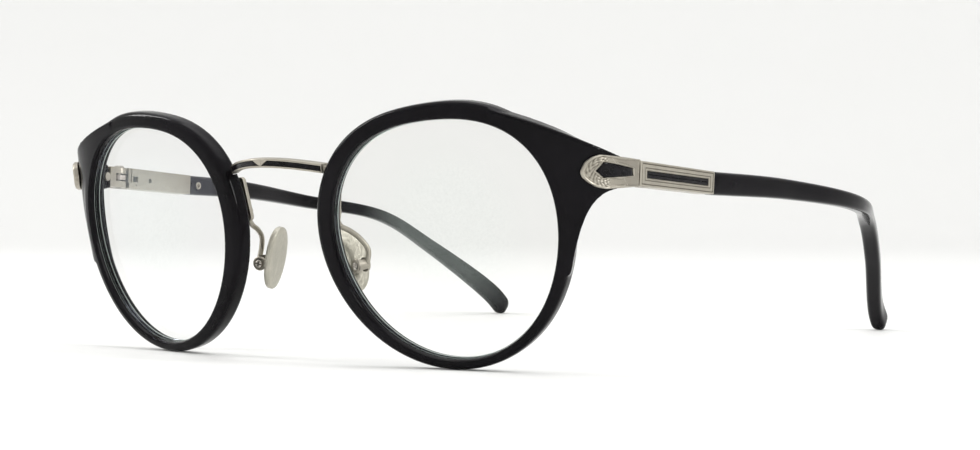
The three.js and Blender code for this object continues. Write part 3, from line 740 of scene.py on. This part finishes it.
def enamel_bar(height, front, back, clear, steps=24, ribs=0):
    """A bar along one half of the bridge, stopping against the triangle's slanted edge."""
    section = rounded_rectangle(back - front, height, 0.04, 2)
    if ribs:
        rib_y = np.linspace(-height / 2, height / 2, ribs * 4 + 1)
        rib_x = (back - front) / 2 - RIB_DEPTH * (np.cos(rib_y / height * 2 * math.pi * ribs) + 1) / 2
        rear = ((front - back) / 2, height / 2) * np.array(((1, 1), (1, -1)))
        section = np.concatenate((np.column_stack((rib_x, rib_y)), rear))
    start = ENAMEL_BAR["start"] + clear * 2
    end = BRIDGE["half_span"] - ENAMEL_BAR["end"] - clear
    slant = (TRIANGLE_WIDTH / 2) * (section[:, 1] / ENAMEL_BAR["height"] + 0.5)
    rings = []
    for z in np.linspace(0, 1, steps):
        x = (start + slant) * (1 - z) + end * z
        rings.append(bridge_point(x, (front + back) / 2 - section[:, 0], section[:, 1]))
    return loft(rings)


def bridge():
    """A bowed bar with a tenon in each rim and a recess on each side of the triangle."""
    span = BRIDGE["half_span"]
    reach = span + TENON["length"]
    tenon = bridge_bar(-reach, reach, TENON["depth"], TENON["height"], 0.2, 60)
    bar = bridge_bar(-span, span, BRIDGE["depth"], BRIDGE["height"], 0.22, 60)
    obj = new_object("look_bridge", *bar)
    boolean(obj, "UNION", tenon)
    front = -BRIDGE["depth"] / 2
    recess = enamel_bar(ENAMEL_BAR["height"], front - 1, front + ENAMEL_BAR["recess"], 0)
    other = (recess[0] * (-1, 1, 1), recess[1])
    boolean(obj, "DIFFERENCE", recess, other)
    return smooth_shading(obj)


def bridge_inlay():
    front = -BRIDGE["depth"] / 2
    height = ENAMEL_BAR["height"] - 2 * ENAMEL_CLEAR
    face, rear = front + ENAMEL_BAR["proud"], front + ENAMEL_BAR["depth"]
    shape = enamel_bar(height, face, rear, ENAMEL_CLEAR, 40, ribs=4)
    return smooth_shading(new_object("look_bridge_inlay", *shape), 60)


finished(bridge(), "front", "silver", SILVER, "bridge")
both_sides(bridge_inlay(), "front", "enamel", ENAMEL, "bridge_inlay")

# ---------------------------------------------------------------- nose arms and pads

PAD = {"width": 7.2, "height": 12.2, "thickness": 1.3, "inwards": 2.7, "above": 1.6}
PAD_PIVOT = np.array((12.1, 6.6, -8.2))
PAD_TURN = rot_z(-14 * DEG) @ rot_y(-15 * DEG)
# The pad's profile from the middle of its face out to its edge and round it: share of the outline,
# share of the thickness.
PAD_FACE = ((0.02, 1), (0.5, 0.99), (0.8, 0.95), (0.93, 0.9), (0.985, 0.82))
PAD_EDGE = ((1, 0.72), (1, 0.2), (0.98, 0.06))
PAD_BOX = {"half": 1.35, "slot": 0.8}
PAD_SCREW = {"radius": 0.3, "head": 0.75, "length": 2.6}
PAD_STEM = {"half": 0.5, "high": 0.75, "end": 0.65}
ARM = {"wire": 0.5, "width": 1.8, "height": 8.4, "lean": 9 * DEG}
ARM.update({"x": 11.1, "z": 4.7, "front": 2.2, "back": 3})  # where its plate stands
ARM_ROUTE = np.array(
    (
        (10.8, 2.7, 0.8),
        (10.8, 3.5, -0.4),
        (11.3, 5.4, -1.6),
        (12.1, 7.2, -3.4),
        (13.1, 7.9, -5.6),
        (13.3, 7, -8),
    )
)


def on_pad(points):
    return np.asarray(points) @ PAD_TURN.T + PAD_PIVOT


def nose_arm():
    """A leaning plate behind the rim, a curled wire, and the slotted box that holds the pad's stem."""
    outline = rounded_rectangle(ARM["width"], ARM["height"], ARM["width"] * 0.45, 8)
    plate = loft(bevelled_prism(outline, ARM["front"], ARM["back"], 0.15))
    lean = rot_y(ARM["lean"])

    def upright(p):
        flat = np.column_stack((p[:, 0], np.zeros(len(p)), p[:, 1]))
        across, upwards = np.full(len(p), ARM["x"]), np.full(len(p), ARM["z"])
        return flat @ lean.T + np.column_stack((across, p[:, 2], upwards))

    obj = new_object("look_nose_arm", *placed(plate, upright))
    shell = placed(rod("y", PAD_BOX["half"], -PAD_BOX["half"], PAD_BOX["half"], bevel=0.15), on_pad)
    boolean(obj, "UNION", tube(catmull_rom(ARM_ROUTE, 40), ARM["wire"]), shell)
    slot = placed(box(-2, PAD_STEM["end"] + GAP, -PAD_BOX["slot"], PAD_BOX["slot"], -2, 2, 0.05), on_pad)
    bore = placed(rod("y", PAD_SCREW["radius"] + GAP, -2, 2, sides=24), on_pad)
    screw_at = (ARM_SCREW["x"], 0, ARM_SCREW["z"])
    arm_hole = rod("y", ARM_SCREW["radius"] + GAP, ARM["front"] - 1, ARM["back"] + 1, screw_at, sides=24)
    boolean(obj, "DIFFERENCE", slot, bore, arm_hole)
    return smooth_shading(obj)


def nose_pad():
    """A pad with a nearly flat face and a rounded edge, and the stem that its screw goes through."""
    a = np.linspace(0, 2 * math.pi, 72, endpoint=False)
    w, h = PAD["width"] / 2, PAD["height"] / 2
    outline = np.column_stack(
        (
            w * np.sign(np.cos(a)) * np.abs(np.cos(a)) ** 0.92 + 0.25 * np.sin(a) * np.cos(a),
            h * np.sign(np.sin(a)) * np.abs(np.sin(a)) ** 0.96,
        )
    )
    thick = PAD["thickness"]
    rings = [(part, -thick * x) for part, x in (*PAD_FACE, *PAD_EDGE)] + [(0.93, 0), (0.6, 0), (0.02, 0)]
    points = []
    for part, x in rings:
        flat = outline * part
        out = np.full(len(flat), x + thick / 2 - PAD["inwards"])
        points.append(np.column_stack((out, flat[:, 0], flat[:, 1] + PAD["above"])))
    obj = new_object("look_nose_pad", *placed(loft(points), on_pad))
    s = PAD_STEM
    stem = placed(box(-PAD["inwards"], s["end"], -s["half"], s["half"], -s["high"], s["high"], 0.1), on_pad)
    boolean(obj, "UNION", stem)
    boolean(obj, "DIFFERENCE", placed(rod("y", PAD_SCREW["radius"] + 0.1, -2, 2, sides=24), on_pad))
    return smooth_shading(obj, 40)


def slotted_screw(name, place, head, shank, length, side=1):
    """A domed, slotted screw along y: its head faces -y, or +y where side is -1."""
    dome = [(-head / 2 * math.cos(a), head * math.sin(a)) for a in np.linspace(0, math.pi / 2, 9)]
    profile = [*dome, (0.02, head), (0.04, shank), (length, shank), (length + 0.1, shank * 0.7)]
    turned = turned_rod("y", [(side * y, r) for y, r in profile])
    obj = new_object(name, *placed(turned, place))
    cut = box(-head * 1.2, head * 1.2, -head * 2, -head * 0.22, -head * 0.16, head * 0.16, 0.02)
    boolean(obj, "DIFFERENCE", placed((cut[0] * (1, side, 1), cut[1]), place))
    return smooth_shading(obj)


def pad_screw():
    start = (0, -PAD_BOX["half"] - GAP / 3, 0)
    head, shank, length = (PAD_SCREW[k] for k in ("head", "radius", "length"))
    return slotted_screw("look_pad_screw", lambda p: on_pad(np.asarray(p) + start), head, shank, length)


def arm_screw():
    at = np.array((ARM_SCREW["x"], ARM["back"] + GAP / 3, ARM_SCREW["z"]))
    head, shank, length = (ARM_SCREW[k] for k in ("head", "radius", "length"))
    return slotted_screw("look_arm_screw", lambda p: np.asarray(p) + at, head, shank, length, -1)


both_sides(nose_arm(), "front", "silver", SILVER, "nose_arm")
both_sides(nose_pad(), "nose_pad", "pad_metal", PAD_METAL, "nose_pad")
both_sides(pad_screw(), "front", "screw_steel", SCREW_STEEL, "nose_pad_screw")
both_sides(arm_screw(), "front", "screw_steel", SCREW_STEEL, "nose_arm_screw")

# ---------------------------------------------------------------- plaques

PLAQUE_FACE = LUG["thickness"] / 2 + GAP + 1
ARROW = np.array(
    (
        (6.6, 8.7),
        (7.2, 10.3),
        (8.1, 11),
        (9.4, 11.3),
        (21, 8.75),
        (21, 4.35),
        (9.9, 5.4),
        (8.5, 5.85),
        (7.5, 6.7),
        (6.8, 7.7),
    )
)
KEYHOLE = np.array(((8.5, 8.65), (9.8, 10), (16.4, 8), (16.4, 6.75), (9.6, 7.4)))
PLAQUE_CENTRE = np.array((13.0, 7.7))
ENGRAVING_CENTRE = (10.6, 8.4)
PLAQUE_END = -2.6  # in the hinge's frame


def resampled(corners, centre, count, rounding):
    """A closed outline as count points at even angles round a centre, its corners rounded."""
    closed = np.vstack((corners, corners[:1]))
    sides = [np.linspace(closed[k], closed[k + 1], 400, endpoint=False) for k in range(len(corners))]
    fine = np.concatenate(sides)
    run = np.concatenate(((0,), np.cumsum(np.linalg.norm(np.diff(fine, axis=0), axis=1))))
    even = np.linspace(0, run[-1], 1200, endpoint=False)
    fine = np.column_stack([np.interp(even, run, fine[:, k]) for k in range(2)])
    if rounding:
        window = max(int(rounding / run[-1] * 1200), 1)
        fine = sum(np.roll(fine, k, axis=0) for k in range(-window, window + 1)) / (2 * window + 1)
    angle = np.arctan2(*(fine - centre).T[::-1])
    order = np.argsort(angle)
    reach = np.linalg.norm(fine - centre, axis=1)[order]
    a = np.linspace(-math.pi, math.pi, count, endpoint=False)
    r = np.interp(a, angle[order], reach, period=2 * math.pi)
    return centre + np.column_stack((np.cos(a), np.sin(a))) * r[:, None]


station = np.linspace(0.2, 1.4, 800)
face_line = along_lug(station, PLAQUE_FACE, np.zeros(len(station)))
face_out = along_lug(station, PLAQUE_FACE + 1, np.zeros(len(station))) - face_line


def on_plaque(side_view, height):
    """Points on the plaque's face, from (y, z) seen from the side and a height above the face."""
    y, z = side_view.T
    x = np.interp(y, face_line[:, 1], face_line[:, 0])
    out = np.column_stack([np.interp(y, face_line[:, 1], face_out[:, k]) for k in range(2)])
    return np.column_stack((x + out[:, 0] * height, y + out[:, 1] * height, z))


def engraving(points):
    """Small leaves and scrolls round the plaque's wide end, as a height."""
    y, z = points.T
    dy, dz = y - ENGRAVING_CENTRE[0], z - ENGRAVING_CENTRE[1]
    around = np.arctan2(dz, -dy)
    reach = np.hypot(dy, dz)
    leaf = np.cos(around * 17 + np.sin(reach * 5) * 1.1) * np.cos(reach * 8.5 + around * 3)
    return leaf * (1 - smoothstep(y, 9.8, 11))


def plaque():
    """A skin over rings from the arrow's outline in to the keyhole, joined to the hinge's knuckles."""
    count = 420
    arrow = resampled(ARROW, PLAQUE_CENTRE, count, 0.35)
    keyhole = resampled(KEYHOLE, PLAQUE_CENTRE, count, 0.08)
    width = np.linalg.norm(arrow - keyhole, axis=1)
    rings = [on_plaque(arrow, np.full(count, -1.0))]
    for part in (0, *np.linspace(0.02, 0.98, 34), 1):
        line = arrow + (keyhole - arrow) * part
        edge = width * part  # distance in from the plaque's outline
        hole = width * (1 - part)  # distance out from the keyhole
        bead = 0.13 * np.exp(-(((edge - 0.26) / 0.13) ** 2))
        lip = 0.1 * np.exp(-(((hole - 0.2) / 0.12) ** 2))
        field = smoothstep(edge, 0.4, 0.6) * smoothstep(hole, 0.3, 0.5)
        height = -0.14 + bead + lip + 0.07 * field * (engraving(line) - 0.6)
        height = height - 0.12 * (1 - smoothstep(edge, 0, 0.12)) - 0.1 * (1 - smoothstep(hole, 0, 0.1))
        rings.append(on_plaque(line, height))
    rings.append(on_plaque(keyhole, np.full(count, -0.65)))
    obj = new_object("look_plaque", *loft(rings))
    k = KNUCKLE
    block = placed(box(-1.4, 2.4, -4, PLAQUE_END, -k["stack"], k["stack"], 0.15), from_hinge)
    web = placed(box(-1.4, 1.1, PLAQUE_END - 0.4, 0, -k["stack"], k["stack"], 0.1), from_hinge)
    barrel = placed(rod("z", k["radius"], -k["stack"], k["stack"], bevel=0.1), from_hinge)
    gap = placed(box(-3, 3, PLAQUE_END + 0.3, 3, -k["middle"] - GAP, k["middle"] + GAP, 0.05), from_hinge)
    bore = placed(rod("z", k["hole"], -4, 4), from_hinge)
    trim = placed(box(-5, 5, PLAQUE_END, 9, -6, 6, 0.02), from_hinge)
    boolean(obj, "DIFFERENCE", trim)
    boolean(obj, "UNION", block, web, barrel)
    boolean(obj, "DIFFERENCE", gap, bore)
    return smooth_shading(obj, 50)


def plaque_inlay():
    centre = PLAQUE_CENTRE
    outline = resampled(KEYHOLE, centre, 160, 0.1)
    rings = []
    for part, height in ((1, -0.6), (1, -0.26), (0.96, -0.2), (0.8, -0.17), (0.4, -0.16), (0.02, -0.16)):
        reach = np.linalg.norm(outline - centre, axis=1, keepdims=True)
        line = centre + (outline - centre) * np.maximum(1 - 0.07 / reach, 0) * part
        rings.append(on_plaque(line, np.full(len(line), height)))
    return smooth_shading(new_object("look_plaque_inlay", *loft(rings)), 40)


both_sides(plaque(), "front", "silver", SILVER, "plaque")
both_sides(plaque_inlay(), "front", "enamel", ENAMEL, "plaque_inlay")

# ---------------------------------------------------------------- housings


def housing_half(y):
    return (HOUSING["high"] + (HOUSING["low"] - HOUSING["high"]) * np.clip(y / HOUSING["end"], 0, 1)) / 2


SLOT = {"start": 0.4, "end": 20.2, "height": 1.3, "depth": 0.65}
# How far in from the edge, as a share of the way to the slot, and the height of the stepped frame.
FRAME_STEPS = (
    (0, -0.16),
    (0.04, -0.04),
    (0.09, 0),
    (0.2, 0),
    (0.24, -0.1),
    (0.31, -0.1),
    (0.35, -0.04),
    (0.66, -0.06),
    (0.7, -0.13),
    (0.77, -0.13),
    (0.81, -0.07),
    (0.94, -0.09),
    (1, -0.2),
)


def frame_ring(part, height, clear=0.0):
    """A rectangle round the housing's outer face, between its edge at 0 and its slot at 1."""
    y0 = HOUSING["tongue"] + (SLOT["start"] - HOUSING["tongue"]) * part + clear
    y1 = HOUSING["end"] + (SLOT["end"] - HOUSING["end"]) * part - clear
    corners = rounded_rectangle(y1 - y0, 2, 0.12, 4) + ((y0 + y1) / 2, 0)
    half = housing_half(corners[:, 0]) * (1 - part) + SLOT["height"] / 2 * part - clear
    z = np.sign(corners[:, 1]) * (half - (1 - np.abs(corners[:, 1])))
    return np.column_stack((np.full(len(z), HOUSING["outer"] + height), corners[:, 0], z))


def housing():
    """A stepped frame round a slot, hollow inside, with the hinge's mouth and the carriage's window."""
    inner = HOUSING["inner"] - HOUSING["outer"]
    rings = [frame_ring(0, inner, 0.12), frame_ring(0, inner + 0.05, 0.04), frame_ring(0, inner + 0.14)]
    rings += [frame_ring(part, height) for part, height in FRAME_STEPS]
    rings.append(frame_ring(1, -SLOT["depth"]))
    obj = new_object("look_housing", *placed(loft(rings), from_hinge))
    mouth = box(-4, 1.9, HOUSING["tongue"] - 1, HOUSING["mouth"], -4, 4, 0.05)
    cavity = box(MIDDLE - 1.15, MIDDLE + 1.15, 0, 17, -1.35, 1.35, 0.1)
    window = box(-3, MIDDLE, 3.1, 4.7, -0.7, 0.5, 0.1)
    hole = rod("x", 0.5, -3, MIDDLE, (0, 8.5, -0.1))
    step = box(-3, HOUSING["inner"] + 0.25, HOUSING["tongue"], 2.75, -0.9, 3, 0.05)
    core_hole = rod("y", 0.75, 19, HOUSING["end"] + 1, (0.6, 0, 0))
    rivet = rod("x", 0.17, -3, HOUSING["inner"] + 0.2, (0, 4.2, -1.35), 0.02, 16)
    tools = (mouth, cavity, window, hole, core_hole, step, rivet)
    boolean(obj, "DIFFERENCE", *(placed(t, from_hinge) for t in tools))
    return smooth_shading(obj)


def housing_inlay():
    steps = ((-0.6, 0.07), (-0.3, 0.07), (-0.24, 0.12), (-0.22, 0.3), (-0.22, 0.6))
    rings = [frame_ring(1, height, clear) for height, clear in steps]
    return smooth_shading(new_object("look_housing_inlay", *placed(loft(rings), from_hinge)), 50)


both_sides(housing(), "temple", "silver", SILVER, "temple_housing")
both_sides(housing_inlay(), "temple", "enamel", ENAMEL, "housing_inlay")

# ---------------------------------------------------------------- temples

temple_line = catmull_rom(TEMPLE_POINTS, 260)
TEMPLE_LENGTH = length_of(temple_line)
STUD = {"radius": 0.8, "y": 25, "depth": 0.7}
CORE = {"width": 0.8, "height": 0.9, "length": 0.8}


def temple_frame(t):
    """Middle, sideways and upwards directions of the temple at shares t of its length."""
    share = np.linspace(0, 1, len(temple_line))
    along = unit(np.gradient(temple_line, axis=0))
    middle = np.column_stack([np.interp(t, share, temple_line[:, k]) for k in range(3)])
    along = unit(np.column_stack([np.interp(t, share, along[:, k]) for k in range(3)]))
    sideways = unit(-np.cross((0, 0, 1), along))
    return middle, sideways, np.cross(sideways, along)


def temple():
    """A rounded section swept along the temple's line, with the bore for its core at the front."""
    t = 1 - (1 - np.linspace(0, 1, 200)) ** 1.3
    left = (1 - t) * TEMPLE_LENGTH
    tip = np.sqrt(np.maximum(1 - np.clip(1 - left / TEMPLE["round"], 0, 1) ** 2, 0.0004))
    mouth = 1 - 0.05 * (1 - smoothstep(t * TEMPLE_LENGTH, 0, 0.25))
    shaft = TEMPLE["half_start"] + (TEMPLE["half_neck"] - TEMPLE["half_start"]) * smoothstep(t, 0, 0.58)
    half_height = (shaft + (TEMPLE["half_tip"] - shaft) * smoothstep(t, 0.66, 0.97)) * tip * mouth
    half_width = (TEMPLE["thick_start"] + (TEMPLE["thick_tip"] - TEMPLE["thick_start"]) * t) / 2 * tip * mouth
    a = np.linspace(0, 2 * math.pi, 56, endpoint=False)
    power = 2 / 3.4
    across = np.sign(np.cos(a)) * np.abs(np.cos(a)) ** power
    upright = np.sign(np.sin(a)) * np.abs(np.sin(a)) ** power
    middle, sideways, upwards = temple_frame(t)
    rings = middle[:, None] + sideways[:, None] * (half_width[:, None] * across)[..., None]
    rings = rings + upwards[:, None] * (half_height[:, None] * upright)[..., None]
    deep = np.linspace(CORE["length"] + 0.02, 0, 40)
    middle, sideways, upwards = temple_frame(deep)
    bore = middle[:, None] + sideways[:, None] * ((CORE["width"] / 2 + 0.25) * across)[None, :, None]
    bore = bore + upwards[:, None] * ((CORE["height"] / 2 + 0.25) * upright)[None, :, None]
    obj = new_object("look_temple", *placed(loft(np.concatenate((bore, rings))), from_hinge))
    face = MIDDLE - TEMPLE["thick_start"] / 2
    hole = rod("x", STUD["radius"] + 0.05, face - 2, face + STUD["depth"], (0, STUD["y"], 0))
    boolean(obj, "DIFFERENCE", placed(hole, from_hinge))
    return smooth_shading(obj, 40)


def stud():
    """A small ring set in the temple's inner side."""
    face = MIDDLE - TEMPLE["thick_start"] / 2
    r = STUD["radius"]
    outer = ((face + 0.4, r - 0.02), (face + 0.02, r), (face - 0.05, r - 0.1), (face - 0.06, r - 0.25))
    inner = ((face + 0.02, r - 0.36), (face + 0.14, r - 0.44), (face + 0.16, 0.05))
    shape = turned_rod("x", (*outer, *inner), (0, STUD["y"], 0))
    return smooth_shading(new_object("look_stud", *placed(shape, from_hinge)), 50)


both_sides(temple(), "temple", "acetate", ACETATE, "temple")
both_sides(stud(), "temple", "silver", SILVER, "temple_stud")

# ---------------------------------------------------------------- pieces that stay as the CAD made them

KEPT = {
    "plaque_rivet_front": SCREW_STEEL,
    "plaque_rivet_rear": SCREW_STEEL,
    "hinge_screw": SCREW_STEEL,
    "hinge_carriage": INNER_STEEL,
    "hinge_spring": INNER_STEEL,
    "hinge_spring_nut": SCREW_STEEL,
    "hinge_collar": INNER_STEEL,
    "temple_core": INNER_STEEL,
}
for name, material in KEPT.items():
    for side in SIDES:
        node = frame["nodes"][f"{name}_{side}"]
        node.data.materials.clear()
        node.data.materials.append(material)

# ---------------------------------------------------------------- stage, light and camera


FLOOR_DROP = 0.00002  # m, so that the floor's face doesn't lie in the rims' lowest points


def stage():
    """A pale round floor that curves up into a wall far away, so that no edge shows."""
    radius, wall, bend = 1.3, 1.1, 0.5
    profile = [(0.0001, 0)] + [(r, 0) for r in np.linspace(0.2, radius - bend, 6)]
    for k in range(1, 13):
        a = 90 * DEG * k / 12
        profile.append((radius - bend + bend * math.sin(a), bend - bend * math.cos(a)))
    profile.append((radius, wall))
    sides = 96
    a = np.linspace(0, 2 * math.pi, sides, endpoint=False)
    points, faces = [], []
    for radius_here, z in profile:
        points += [(radius_here * math.cos(x), radius_here * math.sin(x), z - FLOOR_DROP) for x in a]
    for r in range(len(profile) - 1):
        near, far = r * sides, (r + 1) * sides
        for c in range(sides):
            after = (c + 1) % sides
            faces.append((near + c, near + after, far + after, far + c))
    mesh = bpy.data.meshes.new("floor")
    mesh.from_pydata(points, [], faces)
    mesh.polygons.foreach_set("use_smooth", [True] * len(mesh.polygons))
    floor = bpy.data.objects.new("floor", mesh)
    bpy.context.scene.collection.objects.link(floor)
    n = Nodes("pale_floor")
    colour = n.mixed(n.noise(3, 2), (0.82, 0.82, 0.81), (0.84, 0.84, 0.83))
    n.link(colour, n.shader.inputs["Base Color"])
    n.set(Roughness=0.6, Specular_IOR_Level=0.2)
    mesh.materials.append(n.material)


def softbox(name, place, target, size, power, colour=(1, 1, 1)):
    data = bpy.data.lights.new(name, "AREA")
    data.shape = "RECTANGLE"
    data.size, data.size_y = size
    data.energy = power
    data.color = colour
    lamp = bpy.data.objects.new(name, data)
    lamp.location = place
    lamp.rotation_mode = "QUATERNION"
    lamp.rotation_quaternion = (Vector(target) - Vector(place)).to_track_quat("-Z", "Y")
    bpy.context.scene.collection.objects.link(lamp)


stage()
softbox("overhead", (0, 0.1, 0.85), (0, 0, 0), (0.8, 0.5), 1.6)
softbox("left_strip", (-0.7, -0.3, 0.5), (0, 0, 0.02), (0.07, 0.5), 2.6)
softbox("right_strip", (0.8, 0.05, 0.45), (0, 0, 0.02), (0.07, 0.5), 2.6)

world = bpy.data.worlds.new("studio")
world.use_nodes = True
world.node_tree.nodes["Background"].inputs["Color"].default_value = (1, 1, 1, 1)
world.node_tree.nodes["Background"].inputs["Strength"].default_value = 1.06
bpy.context.scene.world = world

scene = bpy.context.scene
scene.view_settings.view_transform = "Standard"

# The camera, in the front's frame: directions in degrees and distances in mm.
VIEW = {"azimuth": 35.416, "elevation": 7.929, "roll": -4.95, "distance": 349.95, "right": 38.1, "up": 0.27}
FOCAL_LENGTH = 69.75
SENSOR_WIDTH = 36

a, e, roll = (VIEW[k] * DEG for k in ("azimuth", "elevation", "roll"))
back = np.array((math.sin(a) * math.cos(e), -math.cos(a) * math.cos(e), math.sin(e)))
level = np.array((math.cos(a), math.sin(a), 0))
upright = np.cross(back, level)
right = level * math.cos(roll) + upright * math.sin(roll)
up = upright * math.cos(roll) - level * math.sin(roll)
eye = back * VIEW["distance"] + right * VIEW["right"] + up * VIEW["up"]

camera_data = bpy.data.cameras.new("camera")
camera_data.sensor_width = SENSOR_WIDTH
camera_data.lens = FOCAL_LENGTH
camera_data.clip_start, camera_data.clip_end = 0.01, 20
camera = bpy.data.objects.new("camera", camera_data)
turn = STANCE @ np.column_stack((right, up, back))
camera.matrix_world = Matrix.Translation(to_world(eye)) @ Matrix(turn.tolist()).to_4x4()
scene.collection.objects.link(camera)
scene.camera = camera
